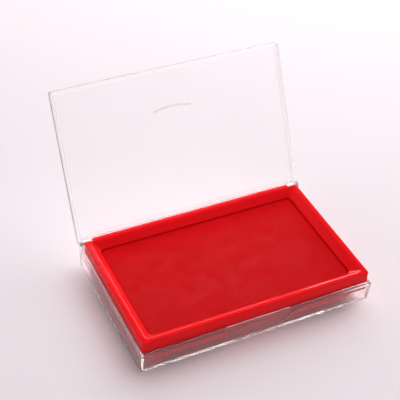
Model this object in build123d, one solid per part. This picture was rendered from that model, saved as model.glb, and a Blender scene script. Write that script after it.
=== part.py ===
from build123d import *
import os
from math import atan, degrees, sqrt

# Stamp pad in a clear hinged case, with the lid standing open.
# Millimetres.  Origin: centre of the underside.  +X is the width, -Y the front
# where a thumb lifts the lid, +Y the hinge side, +Z up.

# Case base
CASE_W = 134.0
CASE_D = 85.0
CASE_CORNER_R = 1.0
BASE_H = 11.3
WALL = 2.2
FLOOR = 1.6
BASE_DRAFT = 0.8
LIP_INSET = 1.1
LIP_TOP = 12.4
BACK_WALL = 1.8
BACK_WALL_TOP = 18.2
EDGE_R = 0.3

# Thumb scoop in the front wall
SCOOP_HALF_TOP = 20.0
SCOOP_HALF_BOTTOM = 13.5
SCOOP_BOTTOM_Z = 0.6

# Hinge
PIVOT_Y = 40.8
PIVOT_Z = 16.4
LID_OPEN = 117.0
PIN_R = 0.9
BORE_R = 0.95
PIN_INNER_X = 61.2
LUG_R = 2.0
LUG_INNER_X = 60.2
LUG_OUTER_X = 65.2
EAR_R = 2.4

# Lid, described in its closed position
LID_TOP = 20.7
LID_PLATE = 1.4
LID_SKIRT_BOTTOM = 15.7
LID_WALL = 1.3
ARC_RADIUS = 48.0
ARC_CHORD = 21.4
ARC_FROM_PIVOT = 60.6
ARC_WIDTH = 0.9
ARC_HEIGHT = 0.8

# Ink tray
RIM_INSET = 2.0
RIM_TOP = 19.0
RIM_CORNER_R = 1.0
RIM_EDGE_R = 0.4
CREST_INSET = 4.7
CREST_CORNER_R = 1.2
CREST_R = 3.0
BASIN_INSET = 8.8
BASIN_CORNER_R = 2.6
SLOPE_BOTTOM = 15.4
BASIN_WALL = 1.5
TOP_WALL = 1.8
TRAY_BOTTOM = 7.6
TRAY_FLOOR = 1.4
FOOT_GAP = 0.1
SKIRT_INSET = 2.5
SKIRT_WALL = 1.4
SKIRT_BOTTOM = 8.2
NOTCH_X = 59.6
NOTCH_Y = 38.2

# Pad
PAD_TOP = 15.0
PAD_GAP = 0.2
CLOTH = 0.4
BOARD = 1.2
HEM = 6.0
PAD_EDGE_R = 0.7


def slab(width, depth, corner, bottom, top):
    """A flat slab with rounded upright corners, centred on the origin."""
    return Pos(0, 0, bottom) * extrude(RectangleRounded(width, depth, corner), top - bottom)


def inset_slab(inset, corner, bottom, top):
    """A slab whose sides lie that far in from the case's outside."""
    return slab(CASE_W - 2 * inset, CASE_D - 2 * inset, corner, bottom, top)


def block(x0, x1, y0, y1, z0, z1):
    """A plain box given by its limits."""
    box = Box(x1 - x0, y1 - y0, z1 - z0, align=Align.MIN)
    return Pos(x0, y0, z0) * box


def bar_along_x(radius, x0, x1):
    """A round bar on the hinge axis."""
    bar = Cylinder(radius, abs(x1 - x0), rotation=(0, 90, 0))
    return Pos((x0 + x1) / 2, PIVOT_Y, PIVOT_Z) * bar


def thumb_scoop():
    """The wedge cut from the front wall: nothing at the bottom, deepest at the top."""
    front = -CASE_D / 2
    outline = Polygon(
        (-SCOOP_HALF_BOTTOM, 0),
        (SCOOP_HALF_BOTTOM, 0),
        (SCOOP_HALF_TOP, BASE_H),
        (-SCOOP_HALF_TOP, BASE_H),
        align=None,
    )
    prism = Pos(0, front + 5, 0) * extrude(Plane.XZ * outline, 10)
    side = Polygon(
        (front - 1, SCOOP_BOTTOM_Z),
        (front + BASE_DRAFT, SCOOP_BOTTOM_Z),
        (front + LIP_INSET, BASE_H),
        (front - 1, BASE_H),
        align=None,
    )
    wedge = Pos(-SCOOP_HALF_TOP, 0, 0) * extrude(Plane.YZ * side, 2 * SCOOP_HALF_TOP)
    return prism & wedge


def hinge_lug(side):
    """One upright lug inside a back corner, rounded about the hinge axis."""
    x0, x1 = sorted((side * LUG_INNER_X, side * LUG_OUTER_X))
    front, back = PIVOT_Y - LUG_R, CASE_D / 2
    post = block(x0, x1, front, back, FLOOR / 2, PIVOT_Z)
    eye = bar_along_x(LUG_R, x0, x1) & block(x0, x1, front, back, PIVOT_Z - LUG_R, PIVOT_Z + LUG_R)
    return post + eye


def case_base():
    draft_angle = degrees(atan(BASE_DRAFT / BASE_H))
    footprint = RectangleRounded(
        CASE_W - 2 * BASE_DRAFT, CASE_D - 2 * BASE_DRAFT, CASE_CORNER_R - BASE_DRAFT / 2
    )
    shell = extrude(footprint, BASE_H, taper=-draft_angle)
    shell = fillet(shell.edges().group_by(Axis.Z)[0], EDGE_R)
    lip = inset_slab(LIP_INSET, CASE_CORNER_R / 2, BASE_H / 2, LIP_TOP)
    cavity = inset_slab(WALL, CASE_CORNER_R / 2, FLOOR, LIP_TOP + 1)
    back_wall = block(
        -LUG_OUTER_X, LUG_OUTER_X, CASE_D / 2 - BACK_WALL, CASE_D / 2, BASE_H / 2, BACK_WALL_TOP
    )
    base = shell + lip - cavity - thumb_scoop() + back_wall
    for side in (-1, 1):
        base += hinge_lug(side)
    for side in (-1, 1):
        base -= bar_along_x(BORE_R, side * (LUG_INNER_X - 1), side * (LUG_OUTER_X + 1))
    return base


def arc_rib():
    """The shallow curved rib on the outside of the lid, bowed towards the front."""
    middle_y = PIVOT_Y - ARC_FROM_PIVOT
    sagitta = ARC_RADIUS - sqrt(ARC_RADIUS**2 - (ARC_CHORD / 2) ** 2)
    path = ThreePointArc(
        (-ARC_CHORD / 2, middle_y + sagitta / 2, LID_TOP),
        (0, middle_y - sagitta / 2, LID_TOP),
        (ARC_CHORD / 2, middle_y + sagitta / 2, LID_TOP),
    )
    profile = Plane(origin=path @ 0, z_dir=path % 0) * Rectangle(ARC_WIDTH, 2 * ARC_HEIGHT)
    return sweep(profile, path=path)


def open_lid(shape):
    """Turn a shape from the closed position to the open one, about the hinge axis."""
    return shape.rotate(Axis((0, PIVOT_Y, PIVOT_Z), (1, 0, 0)), -LID_OPEN)


def case_lid():
    outer = inset_slab(0, CASE_CORNER_R, LID_SKIRT_BOTTOM, LID_TOP)
    outer = fillet(outer.edges().group_by(Axis.Z)[-1], EDGE_R)
    plate_bottom = LID_TOP - LID_PLATE
    hollow = inset_slab(LID_WALL, CASE_CORNER_R / 2, LID_SKIRT_BOTTOM - 1, plate_bottom)
    inner_x = CASE_W / 2 - LID_WALL
    back = CASE_D / 2 + 1
    back_gap = block(-inner_x, inner_x, PIVOT_Y - 2 * EAR_R, back, 0, plate_bottom)
    behind_ears = block(-CASE_W, CASE_W, PIVOT_Y, back, 0, plate_bottom)
    lid = outer - hollow - back_gap - behind_ears + arc_rib()
    for side in (-1, 1):
        lid += bar_along_x(EAR_R, side * inner_x, side * CASE_W / 2)
    lid &= block(-CASE_W, CASE_W, -CASE_D, CASE_D / 2, 0, LID_TOP + 1)
    for side in (-1, 1):
        lid -= bar_along_x(PIN_R, side * (inner_x - 1), side * (CASE_W / 2 + 1))
    return open_lid(lid)


def hinge_pin(side):
    """A short pin fixed in one ear of the lid and turning in the lug beside it."""
    pin = bar_along_x(PIN_R, side * PIN_INNER_X, side * CASE_W / 2)
    return open_lid(chamfer(pin.edges().filter_by(GeomType.CIRCLE), PIN_R / 5))


def well(low_inset, low_z, high_inset, high_z, corners):
    """A block whose four sides lean outwards from the lower outline to the upper one."""
    levels = ((low_inset, low_z, corners[0]), (high_inset, high_z, corners[1]))
    return loft([
        Pos(0, 0, z) * RectangleRounded(CASE_W - 2 * inset, CASE_D - 2 * inset, corner)
        for inset, z, corner in levels
    ], ruled=True)


def soft_rim(slope):
    """The ring above the case wall: a crisp outer edge and a rounded inner crest."""
    rim = inset_slab(RIM_INSET, RIM_CORNER_R, LIP_TOP, RIM_TOP)
    rim = fillet(rim.edges().group_by(Axis.Z)[-1], RIM_EDGE_R) - slope
    reach_x = CASE_W / 2 - CREST_INSET + 0.1
    reach_y = CASE_D / 2 - CREST_INSET + 0.1
    crest = (
        rim.edges()
        .filter_by_position(Axis.Z, RIM_TOP - 0.01, RIM_TOP + 0.01)
        .filter_by_position(Axis.X, -reach_x, reach_x)
        .filter_by_position(Axis.Y, -reach_y, reach_y)
    )
    return fillet(crest, CREST_R)


def ink_tray():
    """A rim with a hanging skirt, and a basin whose wall goes on down as a foot near the case floor."""
    slope = well(
        BASIN_INSET, SLOPE_BOTTOM, CREST_INSET, RIM_TOP, (BASIN_CORNER_R, CREST_CORNER_R)
    )
    groove_inset = SKIRT_INSET + SKIRT_WALL
    shell = soft_rim(slope) + inset_slab(SKIRT_INSET, RIM_CORNER_R, SKIRT_BOTTOM, LIP_TOP + 1)
    groove = inset_slab(groove_inset, RIM_CORNER_R / 2, 0, RIM_TOP - TOP_WALL)
    for side in (-1, 1):
        x0, x1 = sorted((side * NOTCH_X, side * CASE_W / 2))
        shell -= block(x0, x1, NOTCH_Y, CASE_D / 2, 0, RIM_TOP + 1)
        x0, x1 = sorted((side * (NOTCH_X - SKIRT_WALL), side * CASE_W / 2))
        groove -= block(x0, x1, NOTCH_Y - SKIRT_WALL, CASE_D / 2, 0, RIM_TOP)
    outer_inset = BASIN_INSET - BASIN_WALL
    outer_corner = BASIN_CORNER_R + BASIN_WALL
    core_top = SLOPE_BOTTOM - BASIN_WALL
    core = inset_slab(outer_inset, outer_corner, FLOOR + FOOT_GAP, core_top) + well(
        outer_inset, core_top, groove_inset, RIM_TOP - TOP_WALL, (outer_corner, CREST_CORNER_R)
    )
    basin = inset_slab(BASIN_INSET, BASIN_CORNER_R, TRAY_BOTTOM + TRAY_FLOOR, SLOPE_BOTTOM + 1)
    inside_foot = inset_slab(BASIN_INSET, BASIN_CORNER_R, 0, TRAY_BOTTOM)
    return shell - (groove - core) + core - basin - inside_foot - slope


def pad_size(inset):
    """Width and depth of a pad layer that far in from the cloth's outside."""
    clear = 2 * (BASIN_INSET + PAD_GAP + inset)
    return CASE_W - clear, CASE_D - clear


def pad_board():
    bottom = TRAY_BOTTOM + TRAY_FLOOR + CLOTH
    return slab(*pad_size(CLOTH), BASIN_CORNER_R - CLOTH, bottom, bottom + BOARD)


def ink_sponge():
    bottom = TRAY_BOTTOM + TRAY_FLOOR + CLOTH + BOARD
    block_of_foam = slab(*pad_size(CLOTH), BASIN_CORNER_R - CLOTH, bottom, PAD_TOP - CLOTH)
    return fillet(block_of_foam.edges().group_by(Axis.Z)[-1], PAD_EDGE_R - CLOTH)


def pad_cloth():
    """A cloth shell over the foam, turned under the board as a hem."""
    bottom = TRAY_BOTTOM + TRAY_FLOOR
    outside = slab(*pad_size(0), BASIN_CORNER_R, bottom, PAD_TOP)
    outside = fillet(outside.edges().group_by(Axis.Z)[-1], PAD_EDGE_R)
    hem_opening = slab(*pad_size(HEM), BASIN_CORNER_R, bottom - 1, bottom + 1)
    return outside - pad_board() - ink_sponge() - hem_opening


PARTS = {
    "case_base": case_base,
    "case_lid": case_lid,
    "hinge_pin_left": lambda: hinge_pin(-1),
    "hinge_pin_right": lambda: hinge_pin(1),
    "ink_tray": ink_tray,
    "pad_board": pad_board,
    "ink_sponge": ink_sponge,
    "pad_cloth": pad_cloth,
}

os.makedirs("parts", exist_ok=True)
for name, make in PARTS.items():
    export_step(make(), f"parts/{name}.step")
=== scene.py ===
from math import atan2, cos, pi, radians, sin

import bmesh
import bpy
from mathutils import Matrix, Vector, noise


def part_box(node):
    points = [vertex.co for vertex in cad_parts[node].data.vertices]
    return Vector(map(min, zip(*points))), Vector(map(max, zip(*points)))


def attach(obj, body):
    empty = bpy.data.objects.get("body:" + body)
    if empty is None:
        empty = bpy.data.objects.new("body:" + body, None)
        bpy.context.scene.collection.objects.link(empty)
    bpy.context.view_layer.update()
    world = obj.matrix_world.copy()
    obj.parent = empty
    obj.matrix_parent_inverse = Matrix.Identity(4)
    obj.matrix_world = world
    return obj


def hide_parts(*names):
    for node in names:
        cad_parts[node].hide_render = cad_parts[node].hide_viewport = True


MM = 0.001

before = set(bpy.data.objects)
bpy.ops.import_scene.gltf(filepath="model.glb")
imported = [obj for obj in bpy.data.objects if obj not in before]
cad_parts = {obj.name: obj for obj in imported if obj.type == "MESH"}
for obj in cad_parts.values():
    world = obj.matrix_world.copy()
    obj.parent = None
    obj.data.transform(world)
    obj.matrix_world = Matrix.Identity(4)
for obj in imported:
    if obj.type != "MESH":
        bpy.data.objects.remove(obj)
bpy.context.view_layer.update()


# ---------------------------------------------------------------- camera, floor and light

CAMERA_AZIMUTH = radians(-27.86)
CAMERA_ELEVATION = radians(40.32)
CAMERA_ROLL = radians(3.63)
CAMERA_DISTANCE = 0.6409
CAMERA_TARGET = Vector((0.01802, 0.06654, 0.0))
CAMERA_LENS_MM = 97.7
SENSOR_MM = 36.0

# Brightness of the room by the sine of the elevation
ROOM = ((0.0, 0.95), (0.28, 0.85), (0.46, 0.40), (0.60, 0.25), (1.0, 0.25))
ROOM_TINT = (1.0, 0.915, 0.94, 1)
ROOM_STRENGTH = 1.18

SOFTBOX_PLACE = (0.42, 0.42, 0.80)
SOFTBOX_AIM = (0, 0.05, 0)
SOFTBOX_SIZE = (1.2, 1.0)
SOFTBOX_WATTS = 10.0
SOFTBOX_COLOUR = (1.0, 0.995, 1.0)

SWEEP_PLACE = (0.45, 1.15, 0.22)
SWEEP_AIM = (0, 0.1, 0)
SWEEP_SIZE = (1.6, 0.4)
SWEEP_WATTS = 22
SWEEP_COLOUR = (1.0, 1.0, 1.0)

# Red strips in the gap between the case's walls and the tray's foot
GLOW_INSET = 2.6 * MM
GLOW_WIDTH = 0.8 * MM
GLOW_HEIGHT = 4.0 * MM
GLOW_WATTS_PER_M2 = 46.0
GLOW_COLOUR = (1.0, 0.06, 0.05)

# Light runs a long way inside the clear walls before it leaves them
LIGHT_BOUNCES = 80

FLOOR_DROP = 0.1 * MM
FLOOR_HALF = 3.0
FLOOR_STEPS = 24


def make_camera():
    """A long lens from the front left, a little rolled, aimed at a point on the floor."""
    back = Vector((
        sin(CAMERA_AZIMUTH) * cos(CAMERA_ELEVATION),
        -cos(CAMERA_AZIMUTH) * cos(CAMERA_ELEVATION),
        sin(CAMERA_ELEVATION),
    ))
    right = Vector((0, 0, 1)).cross(back).normalized()
    up = back.cross(right)
    turn = Matrix.Rotation(CAMERA_ROLL, 3, back)
    axes = Matrix((turn @ right, turn @ up, back)).transposed()
    data = bpy.data.cameras.new("camera")
    data.lens = CAMERA_LENS_MM
    data.sensor_width = SENSOR_MM
    data.clip_start = 0.01
    camera = bpy.data.objects.new("camera", data)
    camera.matrix_world = Matrix.Translation(CAMERA_TARGET + back * CAMERA_DISTANCE) @ axes.to_4x4()
    bpy.context.scene.collection.objects.link(camera)
    bpy.context.scene.camera = camera


def add_area_light(name, place, aim, size, watts, colour):
    data = bpy.data.lights.new(name, "AREA")
    data.shape = "RECTANGLE"
    data.size, data.size_y = size
    data.energy = watts
    data.color = colour
    light = bpy.data.objects.new(name, data)
    direction = Vector(aim) - Vector(place)
    light.matrix_world = Matrix.Translation(place) @ direction.to_track_quat("-Z", "Y").to_matrix().to_4x4()
    bpy.context.scene.collection.objects.link(light)
    return light


def add_studio_lights():
    """A large soft key light from the back right, and a low one behind that shows in reflections."""
    softbox = add_area_light(
        "softbox", SOFTBOX_PLACE, SOFTBOX_AIM, SOFTBOX_SIZE, SOFTBOX_WATTS, SOFTBOX_COLOUR
    )
    # Its mirror image would hide the pad when the lid is closed
    softbox.visible_glossy = False
    # It is there for the highlights on the rim; the floor is lit by the softbox and the room
    sweep_glow = add_area_light(
        "sweep_glow", SWEEP_PLACE, SWEEP_AIM, SWEEP_SIZE, SWEEP_WATTS, SWEEP_COLOUR
    )
    sweep_glow.visible_diffuse = sweep_glow.visible_transmission = False


def add_tray_glow():
    """Red light that the tray lets through, into the gap between its foot and the case's walls."""
    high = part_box("case_base")[1]
    x, y = high.x - GLOW_INSET, high.y - GLOW_INSET
    along_x, along_y = (2 * x, GLOW_WIDTH), (GLOW_WIDTH, 2 * y)
    for place, size in (
        ((0, -y), along_x),
        ((0, y), along_x),
        ((-x, 0), along_y),
        ((x, 0), along_y),
    ):
        watts = GLOW_WATTS_PER_M2 * size[0] * size[1]
        strip = add_area_light("tray_glow", (*place, GLOW_HEIGHT), (*place, 0), size, watts, GLOW_COLOUR)
        strip.visible_camera = strip.visible_glossy = strip.visible_transmission = False


def make_world():
    """A pale studio, brightest low down."""
    world = bpy.data.worlds.new("room")
    world.use_nodes = True
    bpy.context.scene.world = world
    nodes, links = world.node_tree.nodes, world.node_tree.links
    axes = nodes.new("ShaderNodeSeparateXYZ")
    links.new(nodes.new("ShaderNodeTexCoord").outputs["Generated"], axes.inputs[0])
    room = nodes.new("ShaderNodeValToRGB")
    stops = room.color_ramp.elements
    while len(stops) < len(ROOM):
        stops.new(0.5)
    for stop, (sine, value) in zip(stops, ROOM):
        stop.position = sine
        stop.color = (value, value, value, 1)
    links.new(axes.outputs["Z"], room.inputs[0])

    tinted = nodes.new("ShaderNodeMix")
    tinted.data_type = "RGBA"
    tinted.blend_type = "MULTIPLY"
    tinted.inputs["Factor"].default_value = 1.0
    tinted.inputs["B"].default_value = ROOM_TINT
    links.new(room.outputs["Color"], tinted.inputs["A"])
    background = nodes["Background"]
    background.inputs["Strength"].default_value = ROOM_STRENGTH
    links.new(tinted.outputs["Result"], background.inputs["Color"])


def make_floor():
    """A wide pale sheet, slightly warm pink, with the faintest grain."""
    mesh = bpy.data.meshes.new("floor")
    shape = bmesh.new()
    bmesh.ops.create_grid(shape, x_segments=FLOOR_STEPS, y_segments=FLOOR_STEPS, size=FLOOR_HALF)
    bmesh.ops.translate(shape, verts=shape.verts, vec=(0, 0, -FLOOR_DROP))
    shape.to_mesh(mesh)
    shape.free()
    floor = bpy.data.objects.new("floor", mesh)
    bpy.context.scene.collection.objects.link(floor)
    floor.data.materials.append(floor_material())


# ---------------------------------------------------------------- materials

HAZE = 0.015
# The haze is real clouding of the plastic; its pink is painted red light from the tray
HAZE_PAINTED_PINK = (0.95, 0.90, 0.92, 1)
SHADOW_TINT = (0.93, 0.94, 0.94, 1)

# The outward side of the lid as it stands in the frame, open. Of the lid's points, only those of
# the small rib lie further out that way than RIB_FROM.
LID_OPEN = radians(117)
LID_OUTWARD = (0, sin(LID_OPEN), cos(LID_OPEN))
RIB_FROM = 33.3 * MM
RIB_RISE = 0.3 * MM
# The colour the rib is darkened with: painted shade for its steep sides
RIB_PAINTED_SHADE = (0.66, 0.63, 0.64, 1)

WEAVE_PITCH = 0.45 * MM
FOAM_CELL = 0.8 * MM


class Surface:
    """A node material with a Principled shader, and short ways to build its textures."""

    def __init__(self, name):
        self.material = bpy.data.materials.new(name)
        self.material.use_nodes = True
        self.nodes = self.material.node_tree.nodes
        self.links = self.material.node_tree.links
        self.shader = self.nodes["Principled BSDF"]
        self.output = self.nodes["Material Output"]
        self.place = self.nodes.new("ShaderNodeTexCoord").outputs["Object"]

    def set(self, **values):
        """Constant inputs, named with underscores for spaces."""
        for name, value in values.items():
            self.shader.inputs[name.replace("_", " ")].default_value = value
        return self

    def drive(self, name, socket):
        self.links.new(socket, self.shader.inputs[name])
        return self

    def noise(self, size, detail=3.0, roughness=0.5, stretch=(1, 1, 1)):
        """Noise whose features are about size metres across."""
        mapping = self.nodes.new("ShaderNodeMapping")
        mapping.inputs["Scale"].default_value = stretch
        self.links.new(self.place, mapping.inputs["Vector"])
        texture = self.nodes.new("ShaderNodeTexNoise")
        texture.inputs["Scale"].default_value = 1 / size
        texture.inputs["Detail"].default_value = detail
        texture.inputs["Roughness"].default_value = roughness
        self.links.new(mapping.outputs[0], texture.inputs["Vector"])
        return texture.outputs["Fac"]

    def math(self, operation, first, second=None):
        node = self.nodes.new("ShaderNodeMath")
        node.operation = operation
        for i, value in enumerate((first, second)):
            if isinstance(value, (int, float)):
                node.inputs[i].default_value = value
            elif value is not None:
                self.links.new(value, node.inputs[i])
        return node.outputs[0]

    def span(self, socket, low, high, from_low=0.0, from_high=1.0):
        """The socket's range from_low..from_high, remapped to low..high and held there."""
        node = self.nodes.new("ShaderNodeMapRange")
        node.inputs["From Min"].default_value = from_low
        node.inputs["From Max"].default_value = from_high
        node.inputs["To Min"].default_value = low
        node.inputs["To Max"].default_value = high
        self.links.new(socket, node.inputs["Value"])
        return node.outputs["Result"]

    def tint(self, socket, dark, light):
        """A colour between dark and light, as the socket goes from 0 to 1."""
        node = self.nodes.new("ShaderNodeMix")
        node.data_type = "RGBA"
        node.inputs["A"].default_value = (*dark, 1)
        node.inputs["B"].default_value = (*light, 1)
        self.links.new(socket, node.inputs["Factor"])
        return node.outputs["Result"]

    def plain_shader(self, kind, colour):
        node = self.nodes.new(kind)
        node.inputs["Color"].default_value = colour
        return node.outputs[0]

    def mixed(self, share, first, second):
        """Two shaders mixed, with that share of the second."""
        node = self.nodes.new("ShaderNodeMixShader")
        if isinstance(share, float):
            node.inputs[0].default_value = share
        else:
            self.links.new(share, node.inputs[0])
        self.links.new(first, node.inputs[1])
        self.links.new(second, node.inputs[2])
        return node.outputs[0]

    def bump(self, socket, height, strength=1.0):
        """Surface relief of that height in metres."""
        node = self.nodes.new("ShaderNodeBump")
        node.inputs["Distance"].default_value = height
        node.inputs["Strength"].default_value = strength
        self.links.new(socket, node.inputs["Height"])
        self.drive("Normal", node.outputs["Normal"])
        return self


def floor_material():
    look = Surface("paper_floor").set(Roughness=0.7, Specular_IOR_Level=0.15)
    look.drive("Base Color", look.tint(look.noise(0.4, 2), (0.82, 0.765, 0.795), (0.85, 0.80, 0.83)))
    return look.bump(look.noise(0.6 * MM, 2), 0.02 * MM, 0.3).material


def paint_shade_on_rib(look, colour):
    """The same colour, but darker on the lid's rib: painted shade for its steep sides."""
    outward = look.nodes.new("ShaderNodeVectorMath")
    outward.operation = "DOT_PRODUCT"
    outward.inputs[1].default_value = LID_OUTWARD
    look.links.new(look.place, outward.inputs[0])
    rib = look.nodes.new("ShaderNodeMix")
    rib.data_type = "RGBA"
    rib.inputs["B"].default_value = RIB_PAINTED_SHADE
    on_rib = look.span(outward.outputs["Value"], 0, 1, RIB_FROM, RIB_FROM + RIB_RISE)
    look.links.new(on_rib, rib.inputs["Factor"])
    look.links.new(colour, rib.inputs["A"])
    return rib.outputs["Result"]


def clear_plastic(name, dark, light, least_roughness, with_rib_shade=False):
    """Polished polystyrene: clear, with faint flow marks and rubbed patches."""
    look = Surface(name).set(Transmission_Weight=1.0, IOR=1.58)
    colour = look.tint(look.noise(30 * MM, 2), dark, light)
    if with_rib_shade:
        colour = paint_shade_on_rib(look, colour)
    look.drive("Base Color", colour)
    rubbed = look.span(look.noise(9 * MM, 5, 0.6), 0.0, 0.06, 0.6, 0.85)
    look.drive("Roughness", look.math("ADD", rubbed, least_roughness))
    look.bump(look.noise(22 * MM, 2, 0.4, stretch=(1, 0.35, 1)), 0.10 * MM, 0.5)
    haze = look.plain_shader("ShaderNodeBsdfDiffuse", HAZE_PAINTED_PINK)
    shadow = look.plain_shader("ShaderNodeBsdfTransparent", SHADOW_TINT)
    rays = look.nodes.new("ShaderNodeLightPath")
    cloudy = look.mixed(HAZE, look.shader.outputs[0], haze)
    look.links.new(look.mixed(rays.outputs["Is Shadow Ray"], cloudy, shadow), look.output.inputs["Surface"])
    return look.material


def red_plastic():
    """Moulded red plastic with a soft gloss and a fine skin."""
    look = Surface("red_plastic").set(
        Specular_IOR_Level=0.07,
        Subsurface_Weight=0.3,
        Subsurface_Scale=3 * MM,
        Subsurface_Radius=(1.0, 0.06, 0.05),
    )
    look.drive("Base Color", look.tint(look.noise(24 * MM, 3), (0.72, 0.005, 0.009), (0.80, 0.007, 0.011)))
    look.drive("Roughness", look.span(look.noise(3 * MM, 4, 0.6), 0.15, 0.19, 0.3, 0.7))
    return look.bump(look.noise(0.5 * MM, 3), 0.006 * MM, 0.6).material


def woven_height(look, pitch):
    """Over-and-under threads along X and Y, as a height from 0 to 1."""
    axes = look.nodes.new("ShaderNodeSeparateXYZ")
    look.links.new(look.place, axes.inputs[0])
    waves = []
    for axis in ("X", "Y"):
        turns = look.math("MULTIPLY", axes.outputs[axis], pi / pitch)
        waves.append(look.math("ABSOLUTE", look.math("SINE", turns)))
    phase_x = look.math("FLOOR", look.math("DIVIDE", axes.outputs["X"], pitch))
    phase_y = look.math("FLOOR", look.math("DIVIDE", axes.outputs["Y"], pitch))
    over = look.math("PINGPONG", look.math("ADD", phase_x, phase_y), 1.0)
    under = look.math("SUBTRACT", 1.0, over)
    return look.math(
        "ADD", look.math("MULTIPLY", waves[0], over), look.math("MULTIPLY", waves[1], under)
    )


def inked_cloth():
    """Fine plain weave, damp with ink that lies darker in some patches."""
    look = Surface("inked_cloth").set(
        Specular_IOR_Level=0.03,
        Sheen_Weight=0.005,
        Sheen_Roughness=0.5,
        Sheen_Tint=(1.0, 0.3, 0.3, 1),
    )
    weave = woven_height(look, WEAVE_PITCH)
    patches = look.noise(16 * MM, 4, 0.55)
    # Darker where the weave dips between the threads: painted shade
    threads = look.tint(weave, (0.49, 0.0015, 0.004), (0.61, 0.003, 0.006))
    shade = look.tint(look.span(patches, 0, 1, 0.3, 0.7), (0.95, 0.95, 0.95), (1.0, 1.0, 1.0))
    blend = look.nodes.new("ShaderNodeMix")
    blend.data_type = "RGBA"
    blend.blend_type = "MULTIPLY"
    blend.inputs["Factor"].default_value = 1.0
    look.links.new(threads, blend.inputs["A"])
    look.links.new(shade, blend.inputs["B"])
    look.drive("Base Color", blend.outputs["Result"])
    look.drive("Roughness", look.span(look.noise(6 * MM, 4), 0.55, 0.8, 0.3, 0.7))
    return look.bump(weave, 0.09 * MM, 0.8).material


def ink_foam():
    """Open cells, dark with ink."""
    look = Surface("ink_foam").set(Roughness=0.9)
    cells = look.nodes.new("ShaderNodeTexVoronoi")
    cells.inputs["Scale"].default_value = 1 / FOAM_CELL
    look.links.new(look.place, cells.inputs["Vector"])
    # Darker in the pits of the cells: painted shade
    look.drive("Base Color", look.tint(cells.outputs["Distance"], (0.20, 0.003, 0.005), (0.45, 0.010, 0.014)))
    return look.bump(cells.outputs["Distance"], 0.25 * MM).material


def grey_board():
    look = Surface("grey_board").set(Specular_IOR_Level=0.3)
    look.drive("Base Color", look.tint(look.noise(2 * MM, 5, 0.7), (0.42, 0.37, 0.33), (0.56, 0.51, 0.47)))
    look.drive("Roughness", look.span(look.noise(1 * MM, 3), 0.75, 0.95))
    return look.bump(look.noise(0.4 * MM, 4), 0.04 * MM).material


def drawn_wire():
    """Steel wire with drawing lines along X."""
    look = Surface("drawn_wire").set(Metallic=1.0)
    lines = look.noise(0.12 * MM, 3, 0.6, stretch=(0.03, 1, 1))
    look.drive("Base Color", look.tint(lines, (0.50, 0.47, 0.40), (0.74, 0.71, 0.64)))
    look.drive("Roughness", look.span(lines, 0.22, 0.42))
    return look.bump(lines, 0.01 * MM, 0.5).material


# ---------------------------------------------------------------- the pad

COVER_EDGE_R = 0.7 * MM
COVER_CORNER_R = 2.6 * MM
COVER_HEM = 6.0 * MM
COVER_THICK = 0.35 * MM
COVER_STEP = 1.6 * MM
CORNER_CELLS = 4
COVER_EDGE_STEPS = 4
COVER_LOW_EDGE_STEPS = 2
COVER_SIDE_RINGS = 4
COVER_HEM_RINGS = 3
FOAM_EDGE_STEPS = 3
HEM_CORNER_R = 0.3 * MM
CROWN = 0.2 * MM
RIPPLE = 0.06 * MM
RIPPLE_SIZE = 26 * MM


def finish_piece(name, shape, material):
    mesh = bpy.data.meshes.new(name)
    bmesh.ops.recalc_face_normals(shape, faces=shape.faces)
    shape.to_mesh(mesh)
    shape.free()
    mesh.polygons.foreach_set("use_smooth", [True] * len(mesh.polygons))
    piece = bpy.data.objects.new(name, mesh)
    bpy.context.scene.collection.objects.link(piece)
    piece.data.materials.append(material)
    return piece


class RoundedOutline:
    """A rectangle with round corners, and rings and points at an inset from it."""

    def __init__(self, low, high, corner, step, corner_cells):
        self.middle = (low + high) / 2
        self.half = ((high.x - low.x) / 2, (high.y - low.y) / 2)
        self.corner = corner
        self.cells = [max(2, round(2 * (h - corner) / step)) for h in self.half]
        self.corner_cells = corner_cells
        self.count = [c + 2 * corner_cells for c in self.cells]

    def shares(self, x, y):
        """Where x, y lies between the middle (0) and the sides (-1 and 1)."""
        return (x - self.middle.x) / self.half[0], (y - self.middle.y) / self.half[1]

    def spot(self, axis, index):
        """Where a grid line lies: (share of the straight side, share of the corner)."""
        straight = index - self.corner_cells
        if straight < 0:
            return -1.0, straight / self.corner_cells
        if straight > self.cells[axis]:
            return 1.0, (straight - self.cells[axis]) / self.corner_cells
        return 2 * straight / self.cells[axis] - 1, 0.0

    def point(self, i, j, inset):
        """Where the grid vertex i, j lies when the outline is taken in by inset."""
        radius = max(self.corner - inset, HEM_CORNER_R)
        (side_x, out_x), (side_y, out_y) = self.spot(0, i), self.spot(1, j)
        reach = max(abs(out_x), abs(out_y))
        if out_x and out_y:
            angle = atan2(out_y, out_x)
            out_x, out_y = reach * cos(angle), reach * sin(angle)
        x = side_x * (self.half[0] - inset - radius) + out_x * radius
        y = side_y * (self.half[1] - inset - radius) + out_y * radius
        return self.middle.x + x, self.middle.y + y

    def rim(self):
        """The grid's boundary vertices in order."""
        nx, ny = self.count
        return (
            [(i, 0) for i in range(nx)]
            + [(nx, j) for j in range(ny)]
            + [(i, ny) for i in range(nx, 0, -1)]
            + [(0, j) for j in range(ny, 0, -1)]
        )


def add_top(shape, outline, inset, height):
    """The grid inside the outline, with height(x, y) as its Z. Returns its boundary ring."""
    nx, ny = outline.count
    verts = {}
    for i in range(nx + 1):
        for j in range(ny + 1):
            x, y = outline.point(i, j, inset)
            verts[i, j] = shape.verts.new((x, y, height(x, y)))
    for i in range(nx):
        for j in range(ny):
            shape.faces.new((verts[i, j], verts[i + 1, j], verts[i + 1, j + 1], verts[i, j + 1]))
    return [verts[spot] for spot in outline.rim()]


def add_ring(shape, ring, outline, inset, z):
    """A further ring of vertices at an inset and height, joined to the last ring."""
    new = [shape.verts.new((*outline.point(i, j, inset), z)) for i, j in outline.rim()]
    count = len(ring)
    for k in range(count):
        shape.faces.new((ring[k], ring[(k + 1) % count], new[(k + 1) % count], new[k]))
    return new


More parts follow.
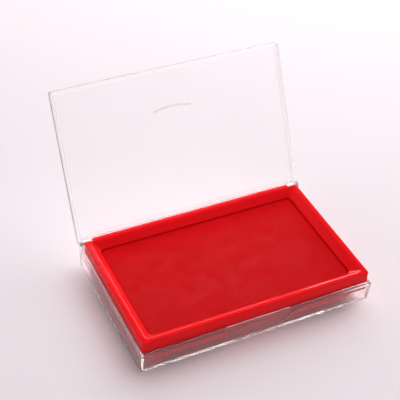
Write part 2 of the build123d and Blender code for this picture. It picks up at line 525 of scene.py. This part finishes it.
def bend(radius, steps, start_z, outwards):
    """(inset, z) down a quarter round: outwards from the top, or inwards under the bottom."""
    for k in range(1, steps + 1):
        angle = pi / 2 * k / steps
        if outwards:
            yield radius * (1 - sin(angle)), start_z - radius * (1 - cos(angle))
        else:
            yield radius * (1 - cos(angle)), start_z - radius * sin(angle)


def crown(across, along):
    """How far the pad's top is domed."""
    return CROWN * max(0.0, 1 - across**4) * max(0.0, 1 - along**4)


def pad_cover(material):
    """Cloth stretched over the foam, rounded over its edge and turned in under it."""
    low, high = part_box("pad_cloth")
    outline = RoundedOutline(low, high, COVER_CORNER_R, COVER_STEP, CORNER_CELLS)
    top_z = high.z - CROWN - RIPPLE

    def height(x, y):
        across, along = outline.shares(x, y)
        slack = max(0.0, 1 - max(abs(across), abs(along)) ** 6)
        ripple = RIPPLE * noise.noise(Vector((x, y, 0)) / RIPPLE_SIZE) * slack
        return top_z + crown(across, along) + ripple

    shape = bmesh.new()
    ring = add_top(shape, outline, COVER_EDGE_R, height)
    for inset, z in bend(COVER_EDGE_R, COVER_EDGE_STEPS, top_z, outwards=True):
        ring = add_ring(shape, ring, outline, inset, z)
    low_edge_r = COVER_EDGE_R / 2
    side_top, side_bottom = top_z - COVER_EDGE_R, low.z + low_edge_r
    for k in range(1, COVER_SIDE_RINGS + 1):
        z = side_top + (side_bottom - side_top) * k / COVER_SIDE_RINGS
        ring = add_ring(shape, ring, outline, 0.0, z)
    for inset, z in bend(low_edge_r, COVER_LOW_EDGE_STEPS, side_bottom, outwards=False):
        ring = add_ring(shape, ring, outline, inset, z)
    for k in range(1, COVER_HEM_RINGS + 1):
        inset = low_edge_r + (COVER_HEM - low_edge_r) * k / COVER_HEM_RINGS
        ring = add_ring(shape, ring, outline, inset, low.z)
    cover = finish_piece("pad_cover", shape, material)
    thick = cover.modifiers.new("thickness", "SOLIDIFY")
    thick.thickness = COVER_THICK
    thick.offset = -1
    smooth = cover.modifiers.new("smooth", "SUBSURF")
    smooth.levels = smooth.render_levels = 1
    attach(cover, "case")
    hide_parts("pad_cloth")


def foam_block(material):
    """The foam under the cover: a closed block with eased upper edges."""
    low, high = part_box("ink_sponge")
    top_z = high.z - CROWN - 2 * RIPPLE
    edge = COVER_EDGE_R - COVER_THICK
    outline = RoundedOutline(low, high, COVER_CORNER_R - COVER_THICK, 2 * COVER_STEP, CORNER_CELLS)

    def height(x, y):
        return top_z + crown(*outline.shares(x, y))

    shape = bmesh.new()
    ring = add_top(shape, outline, edge, height)
    for inset, z in bend(edge, FOAM_EDGE_STEPS, top_z, outwards=True):
        ring = add_ring(shape, ring, outline, inset, z)
    ring = add_ring(shape, ring, outline, 0.0, low.z)
    shape.faces.new(ring)
    block = finish_piece("foam_block", shape, material)
    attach(block, "case")
    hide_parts("ink_sponge")


# ---------------------------------------------------------------- the whole scene


def give_material(node, material):
    """Puts one material on a CAD node that keeps its own shape."""
    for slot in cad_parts[node].material_slots:
        slot.material = material


make_camera()
make_world()
make_floor()
add_studio_lights()
add_tray_glow()

# The base's plastic is tinted pink: painted red light from the tray, in its walls and edges
base_look = clear_plastic("clear_base", (0.97, 0.925, 0.93), (0.99, 0.95, 0.955), 0.05)
lid_look = clear_plastic("clear_lid", (0.97, 0.96, 0.965), (0.995, 0.985, 0.99), 0.01, with_rib_shade=True)
give_material("case_base", base_look)
give_material("case_lid", lid_look)
give_material("ink_tray", red_plastic())
give_material("pad_board", grey_board())
wire = drawn_wire()
give_material("hinge_pin_left", wire)
give_material("hinge_pin_right", wire)
foam_block(ink_foam())
pad_cover(inked_cloth())

scene = bpy.context.scene
scene.view_settings.view_transform = "Standard"
scene.cycles.max_bounces = scene.cycles.glossy_bounces = LIGHT_BOUNCES
scene.cycles.transmission_bounces = LIGHT_BOUNCES
scene.cycles.caustics_reflective = False
scene.cycles.transparent_max_bounces = LIGHT_BOUNCES
